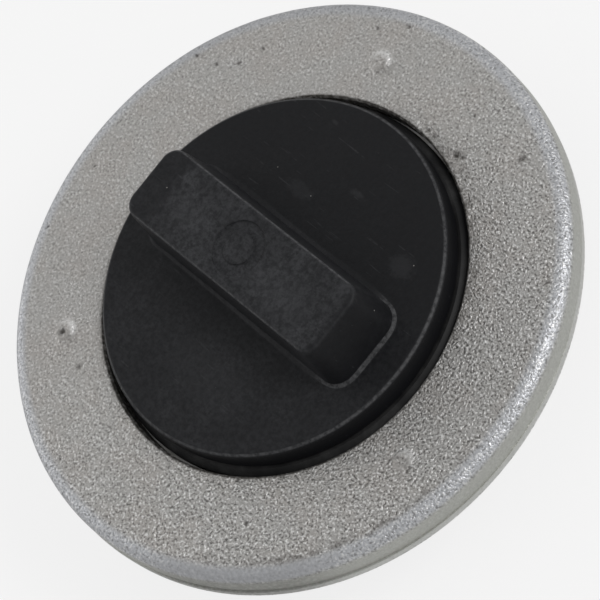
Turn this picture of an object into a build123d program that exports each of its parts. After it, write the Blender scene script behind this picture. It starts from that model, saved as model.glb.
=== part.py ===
from build123d import *
import math
import os

# A weld-in drain socket cast in aluminium, its moulded screw plug and the rubber ring
# that the plug squeezes. Millimetres. +Z points out of the face, +X runs along the
# plug's grip, and the origin is on the thread's axis, in the plane of the flange's back.

# Flange of the socket
flange_radius = 40.0
flange_thickness = 5.2
shoulder_radius = 1.6
back_edge_chamfer = 0.3

# The lower mould half sat a little to one side, which leaves a ledge round the wall
parting_height = 1.3
mould_shift = 0.3
mould_shift_angle = -58.0

# Three low pips left by the mould's pins on the face, a third of a turn apart but for
# the casting's unevenness
pip_angles = (108.0, 225.5, 346.0)
pip_circle_radius = 32.0
pip_radius = 1.6
pip_top_radius = 1.1
pip_height = 0.4

# Hub behind the flange, which passes through the plate that the flange is welded to.
# Its wall is measured from the bottom of the thread.
hub_wall = 4.0
hub_length = 12.0
hub_chamfer = 1.0

# Recess in the face for the plug's head and the rubber ring
recess_depth = 3.0
recess_clearance = 1.45
recess_edge = 0.25

# Screw thread, a one and a quarter inch pipe thread of eleven turns to the inch
thread_major_radius = 20.955
thread_pitch = 2.309
thread_depth = 1.3
thread_half_angle = 27.5
thread_clearance = 0.12
thread_overlap = 0.2
tap_overrun = 0.5

# Lead-ins at the two ends of the socket's thread and at the end of the plug's
mouth_relief = 0.35
lead_in = 0.3

# Head of the plug, which overhangs the thread all round
head_overhang = 3.75
head_above_face = 3.3
head_below_face = 0.5
head_top_edge = 0.45
head_under_edge = 0.3

# Plain collar and run-out groove between the head and the plug's thread
collar_step = 0.15
collar_lift = 0.2
groove_width = 1.5
groove_depth = 0.15

# Shank of the plug, cored out from below
shank_gap_to_hub_end = 1.0
shank_wall = 2.9
head_wall = 3.2
core_corner = 1.2

# Grip across the head, a tapered bar cored out from below
grip_height = 8.9
grip_foot_length = 39.8
grip_foot_width = 12.4
grip_top_length = 37.1
grip_top_width = 10.5
grip_foot_corner = 2.9
grip_top_corner = 2.2
grip_edge_radius = 0.6
grip_foot_bevel = 0.4
grip_wall = 2.9
grip_core_corner = 1.0

# Gate mark of the moulding, a shallow ring round the axis on top of the grip
gate_ring_radius = 3.8
gate_core_radius = 2.2
gate_depth = 0.2

# Flat rubber ring, squeezed between the head and the floor of the recess until its
# outer wall bulges past the head's edge and nearly fills the recess
ring_bore_clearance = 0.25
ring_side_clearance = 0.35
ring_bulge = 0.8
ring_crown_height = 1.1

# Heights and radii that follow
face = flange_thickness
floor = face - recess_depth
hub_radius = thread_major_radius + hub_wall
head_radius = thread_major_radius + head_overhang
recess_radius = head_radius + recess_clearance
head_top = face + head_above_face
head_under = face - head_below_face
grip_top = head_top + grip_height
hub_end = -hub_length
shank_end = hub_end + shank_gap_to_hub_end
socket_crest_radius = thread_major_radius - thread_depth
plug_major_radius = thread_major_radius - thread_clearance
plug_root_radius = socket_crest_radius - thread_clearance
collar_radius = plug_major_radius - collar_step
collar_end = floor + collar_lift
thread_start = collar_end - groove_width
shank_bore_radius = plug_root_radius - shank_wall
core_ceiling = head_top - head_wall
ring_inner_radius = collar_radius + ring_bore_clearance
ring_outer_radius = recess_radius - ring_side_clearance
flank_slope = math.tan(math.radians(thread_half_angle))
crest_width = (thread_pitch - 2 * thread_depth * flank_slope) / 2


def turned(points):
    """A solid of revolution about Z from a closed outline of (radius, height) points."""
    outline = make_face(Plane.XZ * Polyline(*points, close=True))
    return revolve(outline, Axis.Z)


def disc(radius, bottom, top):
    """A plain cylinder on the axis between two heights."""
    upright = (Align.CENTER, Align.CENTER, Align.MIN)
    return Pos(0, 0, bottom) * Cylinder(radius, top - bottom, align=upright)


def helical_ridge(root_radius, crest_radius, extra, bottom, top):
    """A right-hand ridge of the thread's section, from below bottom to above top.

    extra widens each flank, so a groove is the same ridge with its clearance added. The
    ridge starts a whole number of turns from height zero, so any two are in phase.
    """
    first_turn = math.floor(bottom / thread_pitch) - 1
    turns = math.ceil(top / thread_pitch) + 1 - first_turn
    start = first_turn * thread_pitch
    half_crest = crest_width / 2 + extra
    half_root = half_crest + (crest_radius - root_radius) * flank_slope
    section = make_face(
        Plane(origin=(0, 0, start), x_dir=(1, 0, 0), z_dir=(0, -1, 0))
        * Polyline(
            (root_radius, -half_root),
            (crest_radius, -half_crest),
            (crest_radius, half_crest),
            (root_radius, half_root),
            close=True,
        )
    )
    path = Helix(pitch=thread_pitch, height=turns * thread_pitch, radius=root_radius, center=(0, 0, start))
    return sweep(section, path=path, is_frenet=True)


def socket_thread_tap():
    """What the tap takes out of the socket: the bore and its helical groove."""
    low = hub_end - thread_pitch / 2
    high = floor + thread_pitch / 2
    flank_gap = thread_clearance / math.cos(math.radians(thread_half_angle)) - thread_clearance * flank_slope
    root = socket_crest_radius - thread_overlap
    groove = helical_ridge(root, thread_major_radius, flank_gap, low, high)
    groove = groove & disc(hub_radius, low, high)
    return disc(socket_crest_radius, low - tap_overrun, high + tap_overrun) + groove


def flange_blank():
    """The cast flange and its hub, before machining."""
    top_half = disc(flange_radius, parting_height, face)
    top_half = fillet(top_half.edges().group_by(Axis.Z)[-1], shoulder_radius)
    shift = Rot(0, 0, mould_shift_angle) * Pos(mould_shift, 0, 0)
    low_half = shift * disc(flange_radius, 0, parting_height)
    low_half = chamfer(low_half.edges().group_by(Axis.Z)[0], back_edge_chamfer)
    hub = disc(hub_radius, hub_end, parting_height)
    hub = chamfer(hub.edges().group_by(Axis.Z)[0], hub_chamfer)
    return top_half + low_half + hub


def face_pips():
    """Low flat-topped pips left by the mould's pins, round the face."""
    upright = (Align.CENTER, Align.CENTER, Align.MIN)
    pip = Pos(pip_circle_radius, 0, face) * Cone(pip_radius, pip_top_radius, pip_height, align=upright)
    return [Rot(0, 0, angle) * pip for angle in pip_angles]


def recess_cut():
    """The counterbore with its broken edge, and the mouth and the exit of the thread."""
    mouth_radius = thread_major_radius + mouth_relief
    mouth_drop = mouth_radius - socket_crest_radius + lead_in
    recess = turned(
        [
            (0, face + 1),
            (recess_radius + recess_edge + 1, face + 1),
            (recess_radius, face - recess_edge),
            (recess_radius, floor),
            (mouth_radius, floor),
            (mouth_radius - mouth_drop, floor - mouth_drop),
            (0, floor - mouth_drop),
        ]
    )
    exit_radius = thread_major_radius + lead_in
    exit_rise = exit_radius - socket_crest_radius + lead_in
    leaving = turned(
        [
            (0, hub_end - 1),
            (exit_radius + 1, hub_end - 1),
            (exit_radius - exit_rise, hub_end + exit_rise),
            (0, hub_end + exit_rise),
        ]
    )
    return recess, leaving


def make_housing():
    """The socket: one casting with its recess and thread machined into it."""
    housing = flange_blank()
    for pip in face_pips():
        housing = housing + pip
    housing = housing - socket_thread_tap()
    for cut in recess_cut():
        housing = housing - cut
    return housing


def grip_bar():
    """The tapered bar, lofted from its foot on the head to its top and rounded."""
    foot = Plane.XY.offset(head_top) * RectangleRounded(grip_foot_length, grip_foot_width, grip_foot_corner)
    top = Plane.XY.offset(grip_top) * RectangleRounded(grip_top_length, grip_top_width, grip_top_corner)
    bar = loft([foot, top])
    return fillet(bar.edges().group_by(Axis.Z)[-1], grip_edge_radius)


def grip_core():
    """The slot under the grip that keeps its walls even, open to the cored shank."""
    mouth = core_ceiling - core_corner
    crown = grip_top - grip_wall
    end_slope = (grip_foot_length - grip_top_length) / grip_height
    side_slope = (grip_foot_width - grip_top_width) / grip_height
    mouth_length = grip_foot_length - 2 * grip_wall + (head_top - mouth) * end_slope
    mouth_width = grip_foot_width - 2 * grip_wall + (head_top - mouth) * side_slope
    crown_length = mouth_length - (crown - mouth) * end_slope
    crown_width = mouth_width - (crown - mouth) * side_slope
    foot = Plane.XY.offset(mouth) * RectangleRounded(mouth_length, mouth_width, grip_core_corner)
    top = Plane.XY.offset(crown) * RectangleRounded(crown_length, crown_width, grip_core_corner)
    return loft([foot, top]) & disc(shank_bore_radius, mouth - 1, grip_top)


def head_and_shank():
    """The head, the collar, the run-out groove and the plain core of the shank."""
    relief = plug_root_radius - groove_depth
    return turned(
        [
            (0, shank_end),
            (plug_root_radius - lead_in, shank_end),
            (plug_root_radius, shank_end + lead_in),
            (plug_root_radius, thread_start),
            (relief, thread_start + groove_depth),
            (relief, collar_end),
            (collar_radius, collar_end),
            (collar_radius, head_under),
            (head_radius, head_under),
            (head_radius, head_top),
            (0, head_top),
        ]
    )


def plug_thread():
    """The moulded ridge, tapered away at both ends so that it starts easily."""
    low = shank_end + lead_in
    inner = plug_root_radius - 2 * thread_overlap
    outer = plug_major_radius + thread_overlap
    taper = outer - plug_root_radius
    envelope = turned(
        [
            (inner, low),
            (plug_root_radius, low),
            (outer, low + taper),
            (outer, thread_start - taper / 2),
            (plug_root_radius, thread_start),
            (inner, thread_start),
        ]
    )
    ridge = helical_ridge(plug_root_radius - thread_overlap, plug_major_radius, 0, low, thread_start)
    return ridge & envelope


def shank_core():
    """The round hollow inside the shank, up to the underside of the head."""
    core = disc(shank_bore_radius, shank_end - 1, core_ceiling)
    return chamfer(core.edges().group_by(Axis.Z)[-1], core_corner)


def gate_mark():
    """The shallow ring that the gate leaves round the axis on the grip's top."""
    outer = disc(gate_ring_radius, grip_top - gate_depth, grip_top + 1)
    return outer - disc(gate_core_radius, grip_top - 2 * gate_depth, grip_top + 2)


def head_and_grip():
    """The turned blank with its head's edges eased and the grip blended into it."""
    blank = head_and_shank()
    widest = blank.edges().filter_by(GeomType.CIRCLE).group_by(SortBy.RADIUS)[-1].sort_by(Axis.Z)
    blank = chamfer(widest[0], head_under_edge)
    widest = blank.edges().filter_by(GeomType.CIRCLE).group_by(SortBy.RADIUS)[-1].sort_by(Axis.Z)
    blank = chamfer(widest[-1], head_top_edge)
    blank = blank + grip_bar()
    on_head = blank.edges().filter_by_position(Axis.Z, head_top, head_top)
    rim_length = 2 * math.pi * (head_radius - head_top_edge)
    foot = [edge for edge in on_head if edge.length < rim_length / 2]
    return chamfer(foot, grip_foot_bevel)


def make_plug():
    """The screw plug: one moulding of head, grip and cored, threaded shank."""
    body = head_and_grip() + plug_thread()
    body = body - shank_core() - grip_core()
    return body - gate_mark()


def make_seal_ring():
    """The rubber ring as it is squeezed: flat on both sides and bulged outside."""
    middle = (floor + head_under) / 2
    shy = ring_outer_radius - ring_bulge
    return turned(
        [
            (ring_inner_radius, floor),
            (shy, floor),
            (ring_outer_radius, middle - ring_crown_height / 2),
            (ring_outer_radius, middle + ring_crown_height / 2),
            (shy, head_under),
            (ring_inner_radius, head_under),
        ]
    )


def write_part(node, solid):
    """Export one named piece."""
    solid.label = node
    export_step(solid, f"parts/{node}.step")
    print(node, "volume", round(solid.volume), "valid", solid.is_valid, "faces", len(solid.faces()))


os.makedirs("parts", exist_ok=True)
write_part("housing", make_housing())
write_part("plug", make_plug())
write_part("seal_ring", make_seal_ring())
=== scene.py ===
import logging
import math
from collections.abc import Callable
from dataclasses import dataclass, field
from enum import Enum

import bmesh
import bpy
import numpy as np
from mathutils import Matrix, Vector, noise


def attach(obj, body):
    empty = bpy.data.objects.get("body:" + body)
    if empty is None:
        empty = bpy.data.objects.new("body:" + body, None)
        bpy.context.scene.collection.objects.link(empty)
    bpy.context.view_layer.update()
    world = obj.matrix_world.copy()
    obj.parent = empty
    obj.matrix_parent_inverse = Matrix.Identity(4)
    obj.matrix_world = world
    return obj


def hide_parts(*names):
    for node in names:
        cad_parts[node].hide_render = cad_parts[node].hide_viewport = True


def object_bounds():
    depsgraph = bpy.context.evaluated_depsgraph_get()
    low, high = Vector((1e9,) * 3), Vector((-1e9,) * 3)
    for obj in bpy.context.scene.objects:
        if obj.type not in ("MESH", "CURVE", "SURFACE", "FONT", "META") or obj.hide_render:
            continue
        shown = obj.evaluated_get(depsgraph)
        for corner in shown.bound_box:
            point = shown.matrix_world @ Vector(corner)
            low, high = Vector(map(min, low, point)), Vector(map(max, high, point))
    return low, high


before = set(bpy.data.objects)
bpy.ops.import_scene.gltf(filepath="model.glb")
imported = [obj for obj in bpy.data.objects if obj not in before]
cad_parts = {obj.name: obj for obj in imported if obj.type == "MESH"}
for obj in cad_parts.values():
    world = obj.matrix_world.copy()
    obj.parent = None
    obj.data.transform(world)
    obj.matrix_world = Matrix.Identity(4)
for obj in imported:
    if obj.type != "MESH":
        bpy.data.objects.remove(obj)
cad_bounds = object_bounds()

log = logging.getLogger("drain_plug")
MM = 0.001


class Surface(Enum):
    """How a stretch of the socket was left by its maker."""

    CAST = "cast"
    MACHINED = "machined"


# Shader building


class NodeSheet:
    """A node tree with short calls for adding and joining its nodes."""

    def __init__(self, tree: bpy.types.NodeTree) -> None:
        """Wraps a tree.

        Args:
            tree: The material's or the group's node tree.
        """
        self.tree = tree

    def add(self, kind: str, **values: object) -> bpy.types.Node:
        """Adds a node and sets its properties and its inputs.

        Args:
            kind: Blender's name for the node's type.
            **values: Properties by name, or inputs by name with spaces as underscores.

        Returns:
            The new node.
        """
        node = self.tree.nodes.new(kind)
        for name, value in values.items():
            if hasattr(node, name):
                setattr(node, name, value)
            else:
                self.feed(node, name.replace("_", " "), value)
        return node

    def feed(self, node: bpy.types.Node, socket: str | int, value: object) -> None:
        """Gives an input a constant, or links it where the value is an output.

        Args:
            node: The node that owns the input.
            socket: The input's name or number.
            value: A constant or an output socket.
        """
        target = node.inputs[socket]
        if isinstance(value, bpy.types.NodeSocket):
            self.tree.links.new(value, target)
        else:
            target.default_value = value

    def math(self, operation: str, first: object, second: object = 0.0, third: object = 0.0) -> bpy.types.NodeSocket:
        """Adds a maths node.

        Args:
            operation: The operation's name.
            first: The first number or socket.
            second: The second number or socket.
            third: The third number or socket.

        Returns:
            The result's socket.
        """
        node = self.tree.nodes.new("ShaderNodeMath")
        node.operation = operation
        for place, value in enumerate((first, second, third)):
            self.feed(node, place, value)
        return node.outputs[0]

    def ramp(self, value: object, low: float, high: float, start: float = 0.0, end: float = 1.0) -> bpy.types.NodeSocket:
        """Maps a value smoothly from one range to another and holds it at the ends.

        Args:
            value: The socket to map.
            low: The value that gives start.
            high: The value that gives end.
            start: The result at low.
            end: The result at high.

        Returns:
            The result's socket.
        """
        node = self.tree.nodes.new("ShaderNodeMapRange")
        node.interpolation_type = "SMOOTHSTEP"
        for place, number in enumerate((value, low, high, start, end)):
            self.feed(node, place, number)
        return node.outputs[0]

    def mix(self, factor: object, first: object, second: object) -> bpy.types.NodeSocket:
        """Mixes two colours.

        Args:
            factor: How much of the second colour shows.
            first: A colour or socket.
            second: A colour or socket.

        Returns:
            The result's socket.
        """
        node = self.tree.nodes.new("ShaderNodeMix")
        node.data_type = "RGBA"
        self.feed(node, 0, factor)
        self.feed(node, 6, first)
        self.feed(node, 7, second)
        return node.outputs[2]

    def noise(self, vector: object, scale: float, detail: float = 2.0, roughness: float = 0.5) -> bpy.types.NodeSocket:
        """Adds a cloud of noise.

        Args:
            vector: Where it is read.
            scale: Features per unit of the vector.
            detail: How many finer layers it has.
            roughness: How strong the finer layers are.

        Returns:
            The value's socket.
        """
        node = self.add("ShaderNodeTexNoise", Vector=vector, Scale=scale, Detail=detail, Roughness=roughness)
        return node.outputs["Fac"]

    def millimetres(self) -> bpy.types.NodeSocket:
        """Reads the place on the object, in millimetres.

        Returns:
            The vector's socket.
        """
        where = self.add("ShaderNodeTexCoord")
        scaled = self.add("ShaderNodeVectorMath", operation="SCALE")
        self.feed(scaled, 0, where.outputs["Object"])
        self.feed(scaled, "Scale", 1.0 / MM)
        return scaled.outputs[0]

    def mask(self, name: str) -> bpy.types.NodeSocket:
        """Reads a mask that a mesh carries on its points.

        Args:
            name: The attribute's name.

        Returns:
            The value's socket.
        """
        return self.add("ShaderNodeAttribute", attribute_name=name).outputs["Fac"]


@dataclass(frozen=True)
class GroupSocket:
    """One input or output of a shader node group."""

    name: str
    kind: str
    default: object = None


class ShaderGroup:
    """A node group that is built once and then placed in several materials."""

    name: str = ""
    takes: tuple[GroupSocket, ...] = ()
    gives: tuple[GroupSocket, ...] = ()

    def __init__(self) -> None:
        """Builds the group's sockets and its nodes."""
        self.tree = bpy.data.node_groups.new(self.name, "ShaderNodeTree")
        for socket in self.takes:
            made = self.tree.interface.new_socket(socket.name, in_out="INPUT", socket_type=socket.kind)
            if socket.default is not None:
                made.default_value = socket.default
        for socket in self.gives:
            self.tree.interface.new_socket(socket.name, in_out="OUTPUT", socket_type=socket.kind)
        sheet = NodeSheet(self.tree)
        inlet = self.tree.nodes.new("NodeGroupInput")
        outlet = self.tree.nodes.new("NodeGroupOutput")
        for name, value in self.wire(sheet, inlet.outputs).items():
            sheet.feed(outlet, name, value)

    def wire(self, sheet: NodeSheet, given: bpy.types.NodeOutputs) -> dict[str, object]:
        """Adds the group's nodes.

        Args:
            sheet: The group's tree.
            given: The group's inputs, by name.

        Returns:
            What each output gives, by name.
        """
        raise NotImplementedError

    def place(self, sheet: NodeSheet, **values: object) -> bpy.types.NodeOutputs:
        """Puts the group in a tree.

        Args:
            sheet: The tree of a material.
            **values: The inputs by name, with spaces as underscores.

        Returns:
            The node's outputs.
        """
        node = sheet.tree.nodes.new("ShaderNodeGroup")
        node.node_tree = self.tree
        for name, value in values.items():
            sheet.feed(node, name.replace("_", " "), value)
        return node.outputs


class SkinGrain(ShaderGroup):
    """The grain that a mould leaves: coarse and pitted on a casting, faint on plastic."""

    name = "skin_grain"
    takes = (
        GroupSocket("Place", "NodeSocketVector"),
        GroupSocket("Grains per mm", "NodeSocketFloat", 2.0),
    )
    gives = (
        GroupSocket("Height", "NodeSocketFloat"),
        GroupSocket("Hollows", "NodeSocketFloat"),
        GroupSocket("Crests", "NodeSocketFloat"),
    )

    def wire(self, sheet: NodeSheet, given: bpy.types.NodeOutputs) -> dict[str, object]:
        """Adds the grains, their pores and their worn tops."""
        grains = sheet.noise(given["Place"], 2.0, 1.0, 0.55)
        grains.node.inputs["Distortion"].default_value = 0.35
        sheet.feed(grains.node, "Scale", given["Grains per mm"])
        hollows = sheet.ramp(grains, 0.46, 0.30)
        crests = sheet.ramp(grains, 0.52, 0.70)
        return {"Height": grains, "Hollows": hollows, "Crests": crests}


class Smudge(ShaderGroup):
    """A rubbed or dusty spot: an oval with a ragged edge."""

    name = "smudge"
    takes = (
        GroupSocket("Place", "NodeSocketVector"),
        GroupSocket("Centre", "NodeSocketVector"),
        GroupSocket("Stretch", "NodeSocketVector", (1.0, 1.0, 1.0)),
        GroupSocket("Raggedness", "NodeSocketFloat", 0.6),
    )
    gives = (GroupSocket("Mask", "NodeSocketFloat"),)

    def wire(self, sheet: NodeSheet, given: bpy.types.NodeOutputs) -> dict[str, object]:
        """Measures the way from the spot's centre and breaks it up with noise."""
        away = sheet.add("ShaderNodeVectorMath", operation="SUBTRACT")
        sheet.feed(away, 0, given["Place"])
        sheet.feed(away, 1, given["Centre"])
        scaled = sheet.add("ShaderNodeVectorMath", operation="MULTIPLY")
        sheet.feed(scaled, 0, away.outputs[0])
        sheet.feed(scaled, 1, given["Stretch"])
        length = sheet.add("ShaderNodeVectorMath", operation="LENGTH")
        sheet.feed(length, 0, scaled.outputs[0])
        torn = sheet.math("SUBTRACT", sheet.noise(given["Place"], 1.3, 4.0, 0.65), 0.5)
        gap = sheet.math("MULTIPLY_ADD", sheet.math("MULTIPLY", torn, 3.0), given["Raggedness"], length.outputs["Value"])
        return {"Mask": sheet.ramp(gap, 1.15, 0.45)}


class DustFilm(ShaderGroup):
    """Dust and handling marks: soft blotches, rubbed smears and a few bright specks."""

    name = "dust_film"
    takes = (
        GroupSocket("Place", "NodeSocketVector"),
        GroupSocket("Amount", "NodeSocketFloat", 0.5),
    )
    gives = (
        GroupSocket("Film", "NodeSocketFloat"),
        GroupSocket("Specks", "NodeSocketFloat"),
        GroupSocket("Scratches", "NodeSocketFloat"),
    )

    def wire(self, sheet: NodeSheet, given: bpy.types.NodeOutputs) -> dict[str, object]:
        """Adds three sizes of cloud, stray specks and fine scratches."""
        wide = sheet.noise(given["Place"], 0.11, 3.0, 0.6)
        near = sheet.noise(given["Place"], 0.55, 4.0, 0.65)
        fine = sheet.noise(given["Place"], 3.2, 3.0, 0.7)
        clouds = sheet.math("MULTIPLY", sheet.ramp(wide, 0.36, 0.66), sheet.ramp(near, 0.34, 0.68, 0.35, 1.0))
        film = sheet.math("MULTIPLY", clouds, sheet.ramp(fine, 0.3, 0.7, 0.6, 1.0))
        film = sheet.math("MULTIPLY", film, given["Amount"])
        cells = sheet.add("ShaderNodeTexVoronoi", feature="F1", Vector=given["Place"], Scale=0.42)
        chance = sheet.add("ShaderNodeSeparateColor")
        sheet.feed(chance, 0, cells.outputs["Color"])
        chosen = sheet.math("GREATER_THAN", chance.outputs[0], 0.72)
        near_core = sheet.ramp(cells.outputs["Distance"], 0.05, 0.015)
        specks = sheet.math("MULTIPLY", chosen, near_core)
        stretched = sheet.add("ShaderNodeMapping", vector_type="POINT")
        sheet.feed(stretched, "Vector", given["Place"])
        stretched.inputs["Rotation"].default_value = (0.0, 0.0, math.radians(34.0))
        stretched.inputs["Scale"].default_value = (0.16, 3.4, 1.0)
        lines = sheet.noise(stretched.outputs[0], 1.0, 1.0, 0.4)
        scratches = sheet.math("MULTIPLY", sheet.ramp(lines, 0.69, 0.74), sheet.ramp(near, 0.46, 0.6))
        return {"Film": film, "Specks": specks, "Scratches": scratches}


@dataclass(frozen=True)
class Colour:
    """A colour as written on a material, in linear light."""

    red: float
    green: float
    blue: float

    def rgba(self) -> tuple[float, float, float, float]:
        """Gives the colour with full cover."""
        return (self.red, self.green, self.blue, 1.0)


class Finish:
    """A material that one or more pieces wear."""

    name: str = "finish"

    def sheet(self) -> tuple[bpy.types.Material, NodeSheet, bpy.types.Node]:
        """Starts the material.

        Returns:
            The material, its tree and its Principled shader.
        """
        material = bpy.data.materials.new(self.name)
        material.use_nodes = True
        shader = material.node_tree.nodes["Principled BSDF"]
        return material, NodeSheet(material.node_tree), shader


@dataclass(frozen=True)
class CastMetal(Finish):
    """Aluminium as it left the mould, grimy in its pores, with a painted bluish sheen on its shoulder and painted shade
    in its recess and on the sides away from the lamps.
    """

    grain: SkinGrain
    dust: DustFilm
    name: str = "cast_aluminium_skin"
    skin: Colour = Colour(0.52, 0.51, 0.495)
    bright: Colour = Colour(0.97, 0.965, 0.955)
    pore: Colour = Colour(0.19, 0.185, 0.175)
    grime_and_shade: Colour = Colour(0.050, 0.045, 0.038)
    shoulder: Colour = Colour(0.60, 0.61, 0.635)
    wall: Colour = Colour(0.57, 0.575, 0.54)
    lip: Colour = Colour(0.70, 0.705, 0.68)
    rust: Colour = Colour(0.50, 0.44, 0.40)

    def material(self) -> bpy.types.Material:
        """Builds the casting's material.

        Returns:
            The finished material.
        """
        material, sheet, shader = self.sheet()
        place = sheet.millimetres()
        skin = self.grain.place(sheet, Place=place, Grains_per_mm=2.9)
        film = self.dust.place(sheet, Place=place, Amount=1.0)
        shoulder = sheet.mask("shoulder")
        wall = sheet.mask("wall")
        lip = sheet.mask("lip")
        grime_and_shade = sheet.mask("grime_and_shade")
        lively = sheet.math("SUBTRACT", 1.0, sheet.mask("calm"))
        slow = sheet.noise(place, 0.16, 3.0, 0.6)
        body = sheet.mix(sheet.ramp(slow, 0.38, 0.66, 0.0, 0.22), self.skin.rgba(), self.rust.rgba())
        # Painted sheen: a paler, bluish tint on the shoulder.
        body = sheet.mix(shoulder, body, self.shoulder.rgba())
        body = sheet.mix(wall, body, self.wall.rgba())
        body = sheet.mix(lip, body, self.lip.rgba())
        body = sheet.mix(sheet.math("MULTIPLY", skin["Crests"], lively), body, self.bright.rgba())
        # Painted highlight: near-white on one side of each pip's rim.
        body = sheet.mix(sheet.mask("painted_highlight"), body, self.bright.rgba())
        body = sheet.mix(sheet.math("MULTIPLY", skin["Hollows"], lively), body, self.pore.rgba())
        # Dark patches: soiling along the hole's edge and in the pits, and painted shade in the recess, beside the pips
        # and on the sides away from the lamps.
        patchy = sheet.math("MULTIPLY", grime_and_shade, sheet.ramp(sheet.noise(place, 1.6, 3.0, 0.6), 0.25, 0.6, 0.4, 1.0))
        body = sheet.mix(patchy, body, self.grime_and_shade.rgba())
        sheet.feed(shader, "Base Color", body)
        rough = sheet.math("MULTIPLY_ADD", film["Film"], 0.10, 0.42)
        rough = sheet.math("MULTIPLY_ADD", patchy, 0.35, rough)
        sheet.feed(shader, "Roughness", rough)
        sheet.feed(shader, "Metallic", sheet.math("MULTIPLY_ADD", patchy, -0.8, 0.85))
        height = sheet.math("MULTIPLY", skin["Height"], lively)
        streaks = self.axial_streaks(sheet, place)
        height = sheet.math("MULTIPLY_ADD", sheet.math("MULTIPLY", streaks, wall), 0.25, height)
        bump = sheet.add("ShaderNodeBump", Height=height, Strength=1.0, Distance=0.30 * MM)
        sheet.feed(shader, "Normal", bump.outputs[0])
        return material

    def axial_streaks(self, sheet: NodeSheet, place: bpy.types.NodeSocket) -> bpy.types.NodeSocket:
        """Adds the fine lines that a file left across the rim.

        Args:
            sheet: The material's tree.
            place: The place in millimetres.

        Returns:
            The streaks' height.
        """
        drawn = sheet.add("ShaderNodeMapping", vector_type="POINT")
        sheet.feed(drawn, "Vector", place)
        drawn.inputs["Scale"].default_value = (2.6, 2.6, 0.12)
        return sheet.noise(drawn.outputs[0], 1.0, 3.0, 0.65)


@dataclass(frozen=True)
class TurnedMetal(Finish):
    """The same aluminium where a tool cut it: bright, with fine turning lines."""

    name: str = "turned_aluminium"
    colour: Colour = Colour(0.60, 0.60, 0.59)

    def material(self) -> bpy.types.Material:
        """Builds the machined surfaces' material.

        Returns:
            The finished material.
        """
        material, sheet, shader = self.sheet()
        place = sheet.millimetres()
        split = sheet.add("ShaderNodeSeparateXYZ", Vector=place)
        flat = sheet.math("ADD", sheet.math("POWER", split.outputs[0], 2.0), sheet.math("POWER", split.outputs[1], 2.0))
        radius = sheet.math("SQRT", flat)
        lines = sheet.add("ShaderNodeCombineXYZ", X=sheet.math("MULTIPLY", radius, 9.0))
        sheet.feed(lines, "Z", sheet.math("MULTIPLY", split.outputs[2], 9.0))
        grooves = sheet.noise(lines.outputs[0], 1.0, 2.0, 0.5)
        stain = sheet.noise(place, 0.35, 3.0, 0.6)
        sheet.feed(shader, "Base Color", sheet.mix(sheet.ramp(stain, 0.35, 0.7), self.colour.rgba(), (0.40, 0.39, 0.37, 1.0)))
        sheet.feed(shader, "Metallic", 1.0)
        sheet.feed(shader, "Roughness", sheet.ramp(stain, 0.3, 0.7, 0.28, 0.42))
        bump = sheet.add("ShaderNodeBump", Height=grooves, Strength=0.6, Distance=0.02 * MM)
        sheet.feed(shader, "Normal", bump.outputs[0])
        return material


@dataclass(frozen=True)
class Mark:
    """A spot on the plug: its centre, its half width along X and Y, and its strength."""

    x: float
    y: float
    z: float
    half_x: float
    half_y: float
    strength: float


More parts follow.
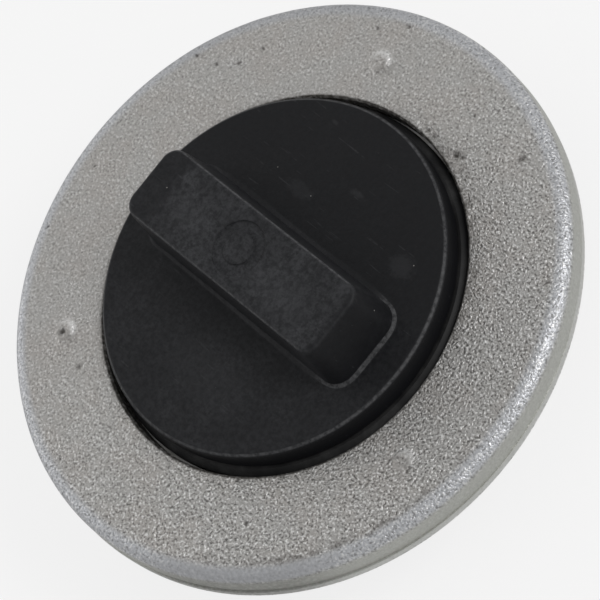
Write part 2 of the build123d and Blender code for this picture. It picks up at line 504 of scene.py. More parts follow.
@dataclass(frozen=True)
class MouldedBlack(Finish):
    """Black moulded plastic: dust on top, pale edges worn by handling and painted highlight lines, a painted sheen on
    the grip's flanks, and a few specks.
    """

    grain: SkinGrain
    dust: DustFilm
    smudge: Smudge
    name: str = "moulded_black"
    black: Colour = Colour(0.0075, 0.0078, 0.0092)
    dust_and_sheen_grey: Colour = Colour(0.052, 0.053, 0.057)
    edge: Colour = Colour(0.105, 0.106, 0.110)
    speck: Colour = Colour(0.40, 0.39, 0.37)
    head_top: float = 8.5
    grip_top: float = 17.4
    head_radius: float = 24.705
    edge_round: float = 0.4
    marks: tuple[Mark, ...] = (
        Mark(2.7, 14.9, 8.5, 1.4, 0.5, 0.6),
        Mark(-7.1, 20.5, 8.5, 0.7, 0.3, 0.5),
        Mark(15.1, 11.0, 8.5, 2.2, 1.7, 0.55),
        Mark(-4.6, 10.8, 8.5, 2.6, 1.3, 0.4),
        Mark(-9.2, -0.6, 17.4, 4.0, 2.8, 0.45),
        Mark(9.0, -1.0, 17.4, 6.5, 3.4, 0.35),
        Mark(2.0, -14.5, 8.5, 9.0, 5.0, 0.30),
    )

    def material(self) -> bpy.types.Material:
        """Builds the plug's material.

        Returns:
            The finished material.
        """
        material, sheet, shader = self.sheet()
        place = sheet.millimetres()
        skin = self.grain.place(sheet, Place=place, Grains_per_mm=2.2)
        film = self.dust.place(sheet, Place=place, Amount=1.0)
        dust_and_sheen_level = self.dust_and_painted_sheen(sheet, place, film["Film"])
        rubbed_and_highlit = self.rubbed_and_highlit_edges(sheet, place)
        # Dust, and a painted sheen on the grip's flanks.
        body = sheet.mix(dust_and_sheen_level, self.black.rgba(), self.dust_and_sheen_grey.rgba())
        body = sheet.mix(sheet.math("MULTIPLY", film["Scratches"], 0.4), body, self.dust_and_sheen_grey.rgba())
        # Pale edges: worn by handling, with painted highlight lines along the grip.
        body = sheet.mix(rubbed_and_highlit, body, self.edge.rgba())
        body = sheet.mix(sheet.math("MULTIPLY", film["Specks"], 0.8), body, self.speck.rgba())
        sheet.feed(shader, "Base Color", body)
        sheet.feed(shader, "Roughness", sheet.math("MULTIPLY_ADD", dust_and_sheen_level, 0.25, 0.48))
        shader.inputs["Specular IOR Level"].default_value = 0.20
        softened = sheet.add("ShaderNodeBevel", samples=6, Radius=self.edge_round * MM)
        bump = sheet.add("ShaderNodeBump", Height=skin["Height"], Strength=0.6, Distance=0.03 * MM)
        sheet.feed(bump, "Normal", softened.outputs[0])
        sheet.feed(shader, "Normal", bump.outputs[0])
        return material

    def dust_and_painted_sheen(
        self, sheet: NodeSheet, place: bpy.types.NodeSocket, film: bpy.types.NodeSocket
    ) -> bpy.types.NodeSocket:
        """Spreads dust over the head, paler towards -Y, and, thicker, along the middle of the grip's top, and paints a
        pale sheen on the grip's flanks.

        Args:
            sheet: The material's tree.
            place: The place in millimetres.
            film: The clouds of dust.

        Returns:
            How much dust and painted sheen lies at each place, from 0 to 1.
        """
        split = sheet.add("ShaderNodeSeparateXYZ", Vector=place)
        along, across, up = split.outputs
        torn = sheet.math("MULTIPLY", sheet.math("SUBTRACT", sheet.noise(place, 0.9, 4.0, 0.65), 0.5), 3.0)
        reach = sheet.math("ADD", along, torn)
        middle = sheet.math("MULTIPLY", sheet.ramp(reach, -15.0, -12.5), sheet.ramp(reach, 18.3, 16.6))
        on_grip = sheet.ramp(up, self.grip_top - 0.5, self.grip_top - 0.1)
        grip = sheet.math("MULTIPLY", on_grip, sheet.ramp(middle, 0.0, 1.0, 0.30, 0.78))
        # Paler towards -Y on the head's top.
        near_side = sheet.ramp(across, 14.0, -10.0, 0.08, 0.36)
        # Painted sheen: the grip's flanks are paler, less so near the +X end.
        sides = sheet.ramp(along, 16.5, 19.0, 0.42, 0.10)
        above = sheet.ramp(up, self.head_top + 0.2, self.head_top + 0.8)
        low = sheet.math("MULTIPLY", near_side, sheet.ramp(up, self.head_top - 0.5, self.head_top - 0.1))
        low = sheet.math("MULTIPLY", low, sheet.math("SUBTRACT", 1.0, above))
        flank = sheet.math("MULTIPLY", sides, sheet.math("SUBTRACT", above, on_grip))
        level = sheet.math("ADD", sheet.math("MAXIMUM", low, flank), grip)
        mottle = sheet.ramp(sheet.noise(place, 1.4, 5.0, 0.75), 0.34, 0.66, 0.25, 1.25)
        cloudy = sheet.math("MULTIPLY", sheet.math("MULTIPLY_ADD", film, 0.7, 0.62), mottle)
        dust = sheet.math("MULTIPLY", level, cloudy)
        for mark in self.marks:
            spot = self.smudge.place(sheet, Place=place)
            node = spot["Mask"].node
            node.inputs["Centre"].default_value = (mark.x, mark.y, mark.z)
            node.inputs["Stretch"].default_value = (1.0 / mark.half_x, 1.0 / mark.half_y, 1.0)
            dust = sheet.math("MULTIPLY_ADD", spot["Mask"], mark.strength * 0.5, dust)
        return sheet.math("MINIMUM", dust, 1.0)

    def rubbed_and_highlit_edges(self, sheet: NodeSheet, place: bpy.types.NodeSocket) -> bpy.types.NodeSocket:
        """Finds the eased edges of the head and the grip: worn pale by handling, with painted highlight lines along the
        grip's top edges and its foot.

        Args:
            sheet: The material's tree.
            place: The place in millimetres.

        Returns:
            How pale each edge is from wear and painted highlight, from 0 to 1.
        """
        facing = sheet.add("ShaderNodeSeparateXYZ")
        sheet.feed(facing, "Vector", sheet.add("ShaderNodeTexCoord").outputs["Normal"])
        tilt = facing.outputs[2]
        along, across, height = sheet.add("ShaderNodeSeparateXYZ", Vector=place).outputs
        flat = sheet.math("SQRT", sheet.math("MULTIPLY_ADD", along, along, sheet.math("MULTIPLY", across, across)))
        eased = sheet.math("MULTIPLY", sheet.ramp(tilt, 0.42, 0.66), sheet.ramp(tilt, 0.95, 0.78))
        from_rim = sheet.math("ABSOLUTE", sheet.math("SUBTRACT", flat, self.head_radius - 0.27))
        rim = sheet.math("MULTIPLY", sheet.ramp(from_rim, 0.24, 0.04), sheet.ramp(height, 7.9, 8.0))
        # Painted highlight: thin lines along the grip's top edges, fading towards +X.
        on_top = sheet.ramp(height, self.grip_top - 0.8, self.grip_top - 0.6)
        top = sheet.math("MULTIPLY", on_top, sheet.ramp(along, 17.2, 15.5, 0.06, 0.8))
        # Painted highlight: a thin line along the grip's foot, strongest at the +X end.
        foot_height = sheet.math("MULTIPLY", sheet.ramp(height, 8.45, 8.55), sheet.ramp(height, 9.1, 8.85))
        foot = sheet.math("MULTIPLY", foot_height, sheet.ramp(along, 14.0, 16.5, 0.15, 0.7))
        grip = sheet.math("MULTIPLY", eased, sheet.math("ADD", top, foot))
        worn = sheet.ramp(sheet.noise(place, 1.6, 5.0, 0.75), 0.34, 0.64, 0.15, 1.0)
        return sheet.math("MULTIPLY", sheet.math("MAXIMUM", grip, sheet.math("MULTIPLY", rim, 0.75)), worn)


@dataclass(frozen=True)
class SealRubber(Finish):
    """Black rubber, smooth and a little glossy, greyed by dust."""

    dust: DustFilm
    name: str = "seal_rubber"
    black: Colour = Colour(0.008, 0.008, 0.0085)
    grey: Colour = Colour(0.045, 0.045, 0.045)

    def material(self) -> bpy.types.Material:
        """Builds the ring's material.

        Returns:
            The finished material.
        """
        material, sheet, shader = self.sheet()
        place = sheet.millimetres()
        film = self.dust.place(sheet, Place=place, Amount=0.9)
        sheet.feed(shader, "Base Color", sheet.mix(film["Film"], self.black.rgba(), self.grey.rgba()))
        sheet.feed(shader, "Roughness", sheet.math("MULTIPLY_ADD", film["Film"], 0.2, 0.5))
        shader.inputs["Specular IOR Level"].default_value = 0.25
        ripple = sheet.noise(place, 1.2, 2.0, 0.5)
        bump = sheet.add("ShaderNodeBump", Height=ripple, Strength=0.4, Distance=0.02 * MM)
        sheet.feed(shader, "Normal", bump.outputs[0])
        return material


# Pieces


@dataclass(frozen=True)
class Blemish:
    """A pit or a dark spot in the casting's face, in millimetres."""

    x: float
    y: float
    size: float
    depth: float = 0.2


@dataclass(frozen=True)
class Row:
    """One ring of points round the socket: where it lies and how it was finished."""

    radius: float
    height: float
    surface: Surface
    shoulder: float = 0.0
    wall: float = 0.0
    lip: float = 0.0
    edge: float = 0.0
    shifted: bool = False


@dataclass
class CastSocket:
    """The cast flange with its hub and thread, in millimetres, finer than the frame's node."""

    flange_radius: float = 40.0
    face: float = 5.2
    shoulder_radius: float = 1.6
    parting_height: float = 1.3
    mould_shift: float = 0.3
    mould_shift_angle: float = -58.0
    back_chamfer: float = 0.3
    recess_radius: float = 26.155
    recess_floor: float = 2.2
    edge_break: float = 0.25
    hub_radius: float = 24.955
    hub_end: float = -12.0
    hub_chamfer: float = 1.0
    thread_major: float = 20.955
    thread_minor: float = 19.655
    pitch: float = 2.309
    groove_floor: float = 0.623
    mouth_radius: float = 21.305
    exit_radius: float = 21.255
    pips: tuple[tuple[float, float], ...] = ((32.0, 108.0), (32.0, 225.5), (32.0, 346.0))
    pip_radius: float = 1.6
    pip_height: float = 0.4
    face_step: float = 0.22
    around: int = 720
    around_inside: int = 240
    blemishes: tuple[Blemish, ...] = (
        Blemish(-34.2, 16.7, 0.22),
        Blemish(-30.7, 17.3, 0.26),
        Blemish(-27.8, 19.3, 0.24, 0.1),
        Blemish(-26.2, 22.7, 0.24, 0.1),
        Blemish(-37.4, 3.4, 0.16),
        Blemish(-36.0, -3.5, 0.15),
        Blemish(-35.6, -13.7, 0.15, 0.1),
        Blemish(-13.6, 33.9, 0.22),
        Blemish(-9.8, 36.4, 0.20),
        Blemish(-16.9, 35.2, 0.16),
        Blemish(7.0, 32.0, 0.22),
        Blemish(16.8, 31.1, 0.42),
        Blemish(16.3, 31.7, 0.22, 0.1),
        Blemish(4.2, 26.9, 0.34, 0.1),
        Blemish(2.9, 27.1, 0.24, 0.1),
        Blemish(8.7, 26.6, 0.50, 0.15),
        Blemish(9.6, 26.9, 0.30, 0.15),
        Blemish(31.1, 20.7, 0.22),
        Blemish(22.3, 31.6, 0.22),
        Blemish(-16.9, -25.2, 0.30),
        Blemish(-10.0, -35.8, 0.16),
        Blemish(18.2, -33.3, 0.18),
        Blemish(16.5, -31.1, 0.16),
        Blemish(18.8, -26.1, 0.18),
        Blemish(13.8, -22.9, 0.26, 0.1),
        Blemish(18.8, -18.9, 0.26, 0.1),
        Blemish(-22.6, -23.0, 0.42),
        Blemish(30.3, -7.8, 0.20),
        Blemish(29.4, -8.6, 0.20),
        Blemish(38.2, -0.7, 0.20),
        Blemish(34.0, -17.5, 0.20),
    )

    def make(self, cast: bpy.types.Material, turned: bpy.types.Material) -> bpy.types.Object:
        """Builds the socket in place of the frame's node.

        Args:
            cast: The casting's skin.
            turned: The finish of the machined surfaces.

        Returns:
            The socket.
        """
        piece = self.lathe("cast_socket", self.outer_rows(), self.around, cast, turned)
        inside = self.thread_mesh(turned)
        for made in (piece, inside):
            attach(made, "socket")
        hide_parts("housing")
        return piece

    def outer_rows(self) -> list[Row]:
        """Lists the rings from the recess over the face and the rim to the hub's end.

        Returns:
            The rings in order.
        """
        cut, skin = Surface.MACHINED, Surface.CAST
        lip = self.face - self.edge_break
        rows = [Row(radius, self.recess_floor, cut) for radius in (self.mouth_radius, 23.5, self.recess_radius)]
        rows.append(Row(self.recess_radius, self.recess_floor, skin, edge=1.0))
        rows += [Row(self.recess_radius, height, skin, edge=1.0) for height in np.linspace(self.recess_floor, lip, 4)[1:]]
        start = self.recess_radius + self.edge_break
        rows.append(Row(start, self.face, skin, edge=1.0))
        flat_end = self.flange_radius - self.shoulder_radius
        count = int((flat_end - start) / self.face_step)
        for radius in np.linspace(start, flat_end, count)[1:]:
            rows.append(Row(radius, self.face, skin, shoulder=smooth_step(radius, flat_end - 0.9, flat_end + 0.3)))
        for turn in np.linspace(0.0, math.pi / 2, 11)[1:]:
            radius = flat_end + self.shoulder_radius * math.sin(turn)
            height = self.face - self.shoulder_radius * (1.0 - math.cos(turn))
            side = smooth_step(math.degrees(turn), 58.0, 88.0)
            rows.append(Row(radius, height, skin, shoulder=1.0 - side, wall=side))
        foot = self.face - self.shoulder_radius
        for height in np.linspace(foot, self.parting_height, 7)[1:]:
            rows.append(Row(self.flange_radius, height, skin, wall=1.0))
        for height in np.linspace(self.parting_height, self.back_chamfer, 5):
            rows.append(Row(self.flange_radius, height, skin, wall=1.0, lip=1.0, shifted=True))
        inner_back = self.flange_radius - self.back_chamfer
        for radius in np.linspace(inner_back, self.hub_radius + 0.4, 5):
            rows.append(Row(radius, 0.0, skin, shifted=radius > inner_back - 1.0))
        rows.append(Row(self.hub_radius, 0.0, cut))
        for height in np.linspace(0.0, self.hub_end + self.hub_chamfer, 5)[1:]:
            rows.append(Row(self.hub_radius, height, cut))
        rows.append(Row(self.hub_radius - self.hub_chamfer, self.hub_end, cut))
        rows.append(Row(self.exit_radius, self.hub_end, cut))
        return rows

    def lathe(
        self,
        name: str,
        rows: list[Row],
        around: int,
        cast: bpy.types.Material,
        turned: bpy.types.Material,
    ) -> bpy.types.Object:
        """Turns the rings into a mesh with its relief and its masks.

        Args:
            name: The piece's name.
            rows: The rings in order.
            around: How many points each ring has.
            cast: The material of cast stretches.
            turned: The material of machined stretches.

        Returns:
            The piece.
        """
        angles = np.linspace(0.0, 2.0 * math.pi, around, endpoint=False)
        points = np.zeros((len(rows), around, 3))
        masks = {key: np.zeros((len(rows), around)) for key in ("shoulder", "wall", "lip", "painted_highlight", "grime_and_shade", "calm")}
        away = math.radians(self.mould_shift_angle)
        for place, row in enumerate(rows):
            shift = self.mould_shift if row.shifted else 0.0
            points[place, :, 0] = row.radius * np.cos(angles) + shift * math.cos(away)
            points[place, :, 1] = row.radius * np.sin(angles) + shift * math.sin(away)
            points[place, :, 2] = row.height
            masks["shoulder"][place] = row.shoulder
            masks["wall"][place] = row.wall
            masks["lip"][place] = row.lip
            if row.surface is Surface.CAST and row.height > 0.5:
                self.add_relief(points[place], row, angles, masks, place)
        finishes = [0 if row.surface is Surface.CAST and after.surface is Surface.CAST else 1 for row, after in zip(rows, rows[1:])]
        return grid_piece(name, points, masks, finishes, (cast, turned))

    def add_relief(
        self, ring: np.ndarray, row: Row, angles: np.ndarray, masks: dict[str, np.ndarray], place: int
    ) -> None:
        """Moves one ring of the casting off its true place and fills in its masks.

        Args:
            ring: The ring's points, changed in place.
            row: The ring.
            angles: The angle of each point.
            masks: The masks of all rings, changed in place.
            place: The ring's number.
        """
        turned = np.degrees(angles)
        flat = 1.0 - row.wall
        waves = np.array([cloud(x, y, row.height, 8.0) for x, y in ring[:, :2]])
        ripple = np.array([cloud(x, y, row.height, 2.2) for x, y in ring[:, :2]])
        fine = np.array([cloud(x, y, row.height, 0.7) for x, y in ring[:, :2]])
        lift = 0.05 * waves + 0.02 * ripple
        calm = 0.56 - 0.50 * bell(turned, -15.0, 135.0) + 0.15 * ripple
        grime_and_shade = self.stains_and_shade(ring, row, turned, ripple, fine)
        painted_highlight = np.zeros(len(angles))
        for radius, angle in self.pips:
            middle = np.array((radius * math.cos(math.radians(angle)), radius * math.sin(math.radians(angle))))
            away = np.hypot(ring[:, 0] - middle[0], ring[:, 1] - middle[1]) / self.pip_radius
            raised = 1.0 - smooth_step(away + 0.12 * ripple, 0.62, 1.0)
            sunk = 1.0 - smooth_step(away + 0.2 * fine, 0.15, 0.6)
            lift += self.pip_height * raised * (0.85 - 0.3 * sunk) + 0.05 * fine * raised
            calm = np.maximum(calm, 0.7 * raised * (1.0 - sunk))
            # Painted highlight: a bright arc on each pip's rim, strongest on its +Y side.
            rim = np.exp(-(((away - 0.80) / 0.26) ** 2))
            toward = (ring[:, :2] - middle) @ np.array((0.10, 0.99)) / self.pip_radius
            painted_highlight = np.maximum(painted_highlight, rim * np.clip(0.25 + 0.9 * toward + 0.5 * ripple, 0.0, 1.0))
            # Painted shadow: a dark patch beside each pip, towards +X.
            shade = np.hypot(ring[:, 0] - middle[0] - 1.3, ring[:, 1] - middle[1] + 0.1) / 1.0
            grime_and_shade = np.maximum(grime_and_shade, 0.30 * np.exp(-(shade**2)))
        for spot in self.blemishes:
            away = np.hypot(ring[:, 0] - spot.x, ring[:, 1] - spot.y) / spot.size
            hole = np.exp(-(away**2) * (1.0 + 0.9 * fine)) * flat
            lift -= spot.depth * hole
            grime_and_shade = np.maximum(grime_and_shade, np.clip(1.3 * hole, 0.0, 1.0))
        crease = math.exp(-(((row.radius - 37.6) / 0.6) ** 2)) * flat
        lift -= 0.12 * crease * bell(turned, -35.0, 40.0)
        smoother = 0.8 * row.shoulder * bell(turned, -54.0, 30.0)
        calm = np.maximum(np.maximum(calm, smoother), 0.35 * row.shoulder)
        calm = np.clip(np.maximum(calm, 0.86 * row.wall), 0.0, 1.0)
        ring[:, 2] += lift * flat
        ring[:, 0] += 0.8 * lift * np.cos(angles) * (0.5 * row.shoulder)
        ring[:, 1] += 0.8 * lift * np.sin(angles) * (0.5 * row.shoulder)
        masks["grime_and_shade"][place] = np.clip(grime_and_shade, 0.0, 1.0)
        masks["painted_highlight"][place] = painted_highlight * flat
        masks["calm"][place] = calm

    def stains_and_shade(
        self, ring: np.ndarray, row: Row, turned: np.ndarray, ripple: np.ndarray, fine: np.ndarray
    ) -> np.ndarray:
        """Lays soiling along the hole's edge, painted shade on the recess wall and on the wall and shoulder away from
        the lamps, and a darker ring at the shoulder's crease.

        Args:
            ring: The ring's points.
            row: The ring.
            turned: The angle of each point, in degrees.
            ripple: Noise over a few millimetres at each point.
            fine: Noise under a millimetre at each point.

        Returns:
            The soiling and painted shade at each point, from 0 to 1.
        """
        beside = max(0.0, row.radius - self.recess_radius)
        broken = np.clip(0.5 + 1.1 * ripple + 1.3 * fine, 0.0, 1.0)
        band = math.exp(-((beside / 1.5) ** 2)) * bell(turned, 42.0, 75.0)
        narrow = math.exp(-((beside / 0.6) ** 2))
        # Soiling in a broken band along the hole's edge towards +X and +Y and in patches towards -Y, and a narrow
        # darker line along its edge towards -X.
        dirt_and_shade = 0.75 * band * broken + 0.55 * narrow * bell(turned, 185.0, 80.0)
        dirt_and_shade += 0.35 * narrow * broken * bell(turned, -60.0, 90.0)
        # Painted shade: the recess wall and its edge break are dark all round, except at the top near 15 degrees.
        dirt_and_shade += row.edge * (0.9 - 0.8 * bell(turned, 15.0, 50.0) * (row.height > self.face - 0.5))
        # A narrow darker ring at the shoulder's crease, near -30 degrees.
        crease = math.exp(-(((row.radius - 37.6) / 0.55) ** 2)) * (1.0 - row.wall)
        dirt_and_shade += 0.55 * crease * broken * bell(turned, -30.0, 40.0)
        # Painted shade: the wall near -56 degrees and the shoulder near 135 and -54 degrees are darker.
        dirt_and_shade += 0.40 * row.wall * bell(turned, -56.0, 26.0)
        dirt_and_shade += 0.20 * row.shoulder * bell(turned, 135.0, 40.0)
        dirt_and_shade += 0.22 * row.shoulder * bell(turned, -54.0, 26.0)
        return dirt_and_shade

    def thread_mesh(self, turned: bpy.types.Material) -> bpy.types.Object:
        """Builds the female thread with its mouth and its exit as one helical skin.

        Args:
            turned: The finish of the machined surfaces.

        Returns:
            The threaded wall.
        """
        slope = math.tan(math.radians(27.5))
        half_floor = self.groove_floor / 2.0
        half_mouth = half_floor + (self.thread_major - self.thread_minor) * slope
        corners = [
            (-half_mouth, self.thread_minor),
            (-half_floor, self.thread_major),
            (half_floor, self.thread_major),
            (half_mouth, self.thread_minor),
        ]
        return helical_wall("socket_thread", corners, self.pitch, self.hub_end, self.recess_floor, self.clip_thread, self.around_inside, turned)

    def clip_thread(self, radius: np.ndarray, height: np.ndarray) -> np.ndarray:
        """Opens the thread into its mouth and its exit.

        Args:
            radius: The thread's radii.
            height: The heights that they are at.

        Returns:
            The radii, opened at both ends.
        """
        mouth = self.mouth_radius - (self.recess_floor - height)
        leaving = self.exit_radius - (height - self.hub_end)
        return np.maximum(radius, np.maximum(mouth, leaving))


def smooth_step(value: float | np.ndarray, low: float, high: float) -> float | np.ndarray:
    """Rises smoothly from 0 at low to 1 at high.

    Args:
        value: The number or numbers.
        low: Where it starts.
        high: Where it ends.

    Returns:
        The share, from 0 to 1.
    """
    share = np.clip((value - low) / (high - low), 0.0, 1.0)
    return share * share * (3.0 - 2.0 * share)


def bell(angle: np.ndarray, middle: float, width: float) -> np.ndarray:
    """Is 1 at an angle and falls off smoothly on both sides of it.

    Args:
        angle: The angles, in degrees.
        middle: The angle of the peak.
        width: How far it reaches each way.

    Returns:
        The share at each angle.
    """
    apart = np.abs((angle - middle + 180.0) % 360.0 - 180.0)
    return 1.0 - smooth_step(apart, 0.35 * width, width)


def cloud(x: float, y: float, z: float, size: float) -> float:
    """Reads smooth noise at a place.

    Args:
        x: The place along X.
        y: The place along Y.
        z: The place along Z.
        size: How wide its swells are.

    Returns:
        A number from about -1 to 1.
    """
    return noise.noise(Vector((x / size, y / size, z / size + 7.0)))


def grid_piece(
    name: str,
    points: np.ndarray,
    masks: dict[str, np.ndarray],
    finishes: list[int],
    materials: tuple[bpy.types.Material, ...],
) -> bpy.types.Object:
    """Makes a piece from rings of points that close on themselves.

    Args:
        name: The piece's name.
        points: Rings by points by three, in millimetres.
        masks: A number per point for each mask's name.
        finishes: The material's number for each band between two rings.
        materials: The materials.

    Returns:
        The piece.
    """
    rings, around, _ = points.shape
    first = np.arange(around)
    after = (first + 1) % around
    faces = []
    for ring in range(rings - 1):
        low, high = ring * around, (ring + 1) * around
        faces.append(np.stack([low + first, high + first, high + after, low + after], axis=1))
    corners = np.concatenate(faces)
    mesh = bpy.data.meshes.new(name)
    mesh.from_pydata((points.reshape(-1, 3) * MM).tolist(), [], corners.tolist())
    for key, values in masks.items():
        layer = mesh.attributes.new(key, "FLOAT", "POINT")
        layer.data.foreach_set("value", values.reshape(-1).astype(np.float32))
    for material in materials:
        mesh.materials.append(material)
    mesh.polygons.foreach_set("material_index", np.repeat(np.array(finishes, dtype=np.int32), around))
    mesh.polygons.foreach_set("use_smooth", np.ones(len(corners), dtype=bool))
    mesh.set_sharp_from_angle(angle=math.radians(32.0))
    mesh.update()
    piece = bpy.data.objects.new(name, mesh)
    bpy.context.scene.collection.objects.link(piece)
    return piece


def helical_wall(
    name: str,
    corners: list[tuple[float, float]],
    pitch: float,
    low: float,
    high: float,
    clip: Callable[[np.ndarray, np.ndarray], np.ndarray],
    around: int,
    material: bpy.types.Material,
) -> bpy.types.Object:
    """Makes a right-hand thread's wall between two heights.

    Args:
        name: The piece's name.
        corners: The profile's (height, radius) corners within one turn.
        pitch: The rise of one turn.
        low: The lower end.
        high: The upper end.
        clip: Changes the radii where the wall ends.
        around: How many points one turn has.
        material: Its finish.

    Returns:
        The piece.
    """
    share = np.arange(around) / around
    first = math.floor(low / pitch) - 2
    last = math.ceil(high / pitch) + 1
    levels: list[tuple[float, float]] = []
    for turn in range(first, last):
        for (h0, r0), (h1, r1) in zip(corners, corners[1:] + [(corners[0][0] + pitch, corners[0][1])]):
            for part in (0.0, 1 / 3, 2 / 3):
                levels.append((turn * pitch + h0 + (h1 - h0) * part, r0 + (r1 - r0) * part))
    heights = np.array([level[0] for level in levels])[:, None] + pitch * share[None, :]
    radii = np.repeat(np.array([level[1] for level in levels])[:, None], around, axis=1)
    heights = np.clip(heights, low, high)
    radii = clip(radii, heights)
    angles = 2.0 * math.pi * share[None, :]
    points = np.stack([radii * np.cos(angles), radii * np.sin(angles), heights], axis=2)
    per_turn = 3 * len(corners)
    rows, _, _ = points.shape
    index = np.arange(rows * around).reshape(rows, around)
    faces = []
    for row in range(rows - 1):
        for column in range(around - 1):
            faces.append((index[row, column], index[row + 1, column], index[row + 1, column + 1], index[row, column + 1]))
    for row in range(rows - 1 - per_turn):
        left, right = row + per_turn, row
        faces.append((index[right, around - 1], index[right + 1, around - 1], index[left + 1, 0], index[left, 0]))
    mesh = bpy.data.meshes.new(name)
    mesh.from_pydata((points.reshape(-1, 3) * MM).tolist(), [], [tuple(int(corner) for corner in face) for face in faces])
    shape = bmesh.new()
    shape.from_mesh(mesh)
    bmesh.ops.remove_doubles(shape, verts=shape.verts, dist=1e-6)
    bmesh.ops.dissolve_degenerate(shape, edges=shape.edges, dist=1e-6)
    shape.to_mesh(mesh)
    shape.free()
    mesh.materials.append(material)
    mesh.polygons.foreach_set("use_smooth", np.ones(len(mesh.polygons), dtype=bool))
    mesh.set_sharp_from_angle(angle=math.radians(32.0))
    mesh.update()
    piece = bpy.data.objects.new(name, mesh)
    bpy.context.scene.collection.objects.link(piece)
    return piece


@dataclass
class ScrewPlug:
    """The moulded plug: its frame node in a better finish."""

    def dress(self, plastic: bpy.types.Material) -> None:
        """Gives the plug's node its finish."""
        wear_material(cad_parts["plug"], plastic)


@dataclass
class SealRing:
    """The squeezed rubber ring: its frame node in a better finish."""

    def dress(self, rubber: bpy.types.Material) -> None:
        """Gives the ring's node its finish."""
        wear_material(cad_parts["seal_ring"], rubber)


def wear_material(piece: bpy.types.Object, material: bpy.types.Material) -> None:
    """Puts a material in every slot of a piece.

    Args:
        piece: The object that wears it.
        material: The material.
    """
    for slot in piece.material_slots:
        slot.material = material


# Studio


@dataclass
class ProductCamera:
    """The camera of the picture: where it stood, what it looked along and its lens."""

    place: Vector = field(default_factory=lambda: Vector((0.269671, -0.001039, 0.388583)))
    forward: Vector = field(default_factory=lambda: Vector((-0.56975, 0.00180, -0.82181)))
    up: Vector = field(default_factory=lambda: Vector((-0.51474, 0.77876, 0.35857)))
    lens: float = 218.91
    sensor: float = 36.0

    def make(self) -> bpy.types.Object:
        """Builds the camera and makes it the scene's own.

        Returns:
            The camera object.
        """
        data = bpy.data.cameras.new("product_camera")
        data.lens = self.lens
        data.sensor_fit = "HORIZONTAL"
        data.sensor_width = self.sensor
        data.clip_start = 0.01
        data.clip_end = 20.0
        camera = bpy.data.objects.new("product_camera", data)
        bpy.context.scene.collection.objects.link(camera)
        ahead = self.forward.normalized()
        right = ahead.cross(self.up).normalized()
        over = right.cross(ahead)
        turn = Matrix((right, over, -ahead)).transposed()
        camera.matrix_world = Matrix.Translation(self.place) @ turn.to_4x4()
        bpy.context.scene.camera = camera
        return camera


@dataclass
class SoftLamp:
    """One soft box, aimed at the middle of the object."""

    name: str
    azimuth: float
    elevation: float
    distance: float
    size: float
    power: float

    def make(self, aim: Vector) -> None:
        """Builds the lamp.

        Args:
            aim: The point that it faces.
        """
        data = bpy.data.lights.new(self.name, "AREA")
        data.shape = "SQUARE"
        data.size = self.size
        data.energy = self.power
        lamp = bpy.data.objects.new(self.name, data)
        bpy.context.scene.collection.objects.link(lamp)
        side, lift = math.radians(self.azimuth), math.radians(self.elevation)
        away = Vector((math.cos(side) * math.cos(lift), math.sin(side) * math.cos(lift), math.sin(lift)))
        lamp.location = aim + away * self.distance
        lamp.rotation_euler = (-away).to_track_quat("-Z", "Y").to_euler()


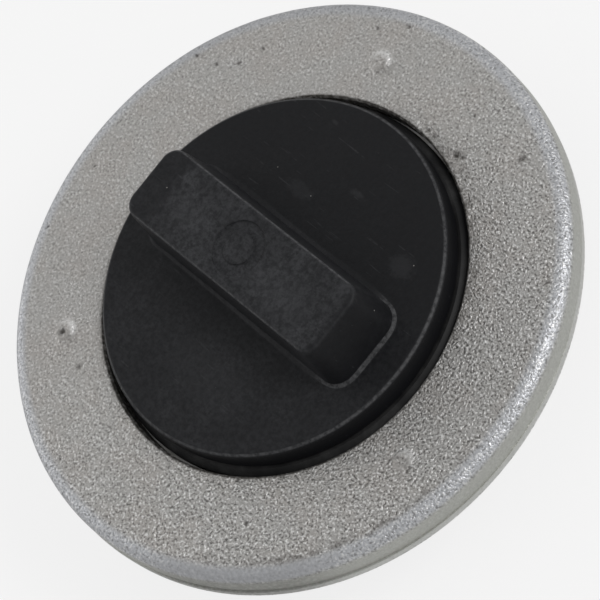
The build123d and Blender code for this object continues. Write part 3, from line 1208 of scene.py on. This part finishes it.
@dataclass
class Studio:
    """A pale floor, soft boxes and an even world."""

    floor_level: float
    floor_size: float = 6.0
    world_level: float = 0.46
    lamps: tuple[SoftLamp, ...] = (
        SoftLamp("key_box", 45.0, 40.0, 0.75, 0.30, 1.8),
        SoftLamp("back_box", 165.0, 35.0, 0.85, 0.35, 0.25),
        SoftLamp("side_box", -150.0, 20.0, 0.80, 0.25, 0.5),
    )

    def make(self) -> None:
        """Builds the floor, the lamps and the world."""
        self.make_floor()
        for lamp in self.lamps:
            lamp.make(Vector((0.0, 0.0, 0.0)))
        self.make_world()
        bpy.context.scene.view_settings.view_transform = "Standard"

    def make_floor(self) -> None:
        """Lays a wide plane that the camera sees as white."""
        bpy.ops.mesh.primitive_plane_add(size=self.floor_size, location=(0.0, 0.0, self.floor_level))
        floor = bpy.context.active_object
        floor.name = "studio_floor"
        material = bpy.data.materials.new("floor_paper")
        material.use_nodes = True
        sheet = NodeSheet(material.node_tree)
        shader = material.node_tree.nodes["Principled BSDF"]
        shader.inputs["Base Color"].default_value = (0.85, 0.85, 0.85, 1.0)
        shader.inputs["Roughness"].default_value = 0.9
        self.show_white(sheet, shader)
        floor.data.materials.append(material)

    def show_white(self, sheet: NodeSheet, shader: bpy.types.Node) -> None:
        """Lets the camera see white paper that still takes part of the shadow.

        Args:
            sheet: The floor material's tree.
            shader: Its Principled shader.
        """
        glow = sheet.add("ShaderNodeEmission")
        glow.inputs["Color"].default_value = (1.0, 1.0, 1.0, 1.0)
        path = sheet.add("ShaderNodeLightPath")
        seen = sheet.math("MULTIPLY", path.outputs["Is Camera Ray"], 0.8)
        blend = sheet.add("ShaderNodeMixShader")
        sheet.feed(blend, 0, seen)
        sheet.feed(blend, 1, shader.outputs[0])
        sheet.feed(blend, 2, glow.outputs[0])
        outlet = sheet.tree.nodes["Material Output"]
        sheet.feed(outlet, "Surface", blend.outputs[0])

    def make_world(self) -> None:
        """Lights evenly from all round, with white behind for the camera."""
        world = bpy.data.worlds.new("studio_world")
        world.use_nodes = True
        bpy.context.scene.world = world
        sheet = NodeSheet(world.node_tree)
        back = world.node_tree.nodes["Background"]
        back.inputs["Color"].default_value = (1.0, 1.0, 1.0, 1.0)
        path = sheet.add("ShaderNodeLightPath")
        seen = sheet.math("MAXIMUM", path.outputs["Is Camera Ray"], path.outputs["Is Transmission Ray"])
        sheet.feed(back, "Strength", sheet.math("MULTIPLY_ADD", seen, 1.0 - self.world_level, self.world_level))


def main() -> None:
    """Builds the looks in order."""
    logging.basicConfig(level=logging.INFO, format="%(name)s: %(message)s")
    ProductCamera().make()
    Studio(floor_level=float(cad_bounds[0][2])).make()
    log.info("camera and studio")
    grain, dust = SkinGrain(), DustFilm()
    CastSocket().make(CastMetal(grain, dust).material(), TurnedMetal().material())
    log.info("cast socket")
    ScrewPlug().dress(MouldedBlack(grain, dust, Smudge()).material())
    log.info("screw plug")
    SealRing().dress(SealRubber(dust).material())
    log.info("seal ring")


if __name__ == "__main__":
    main()
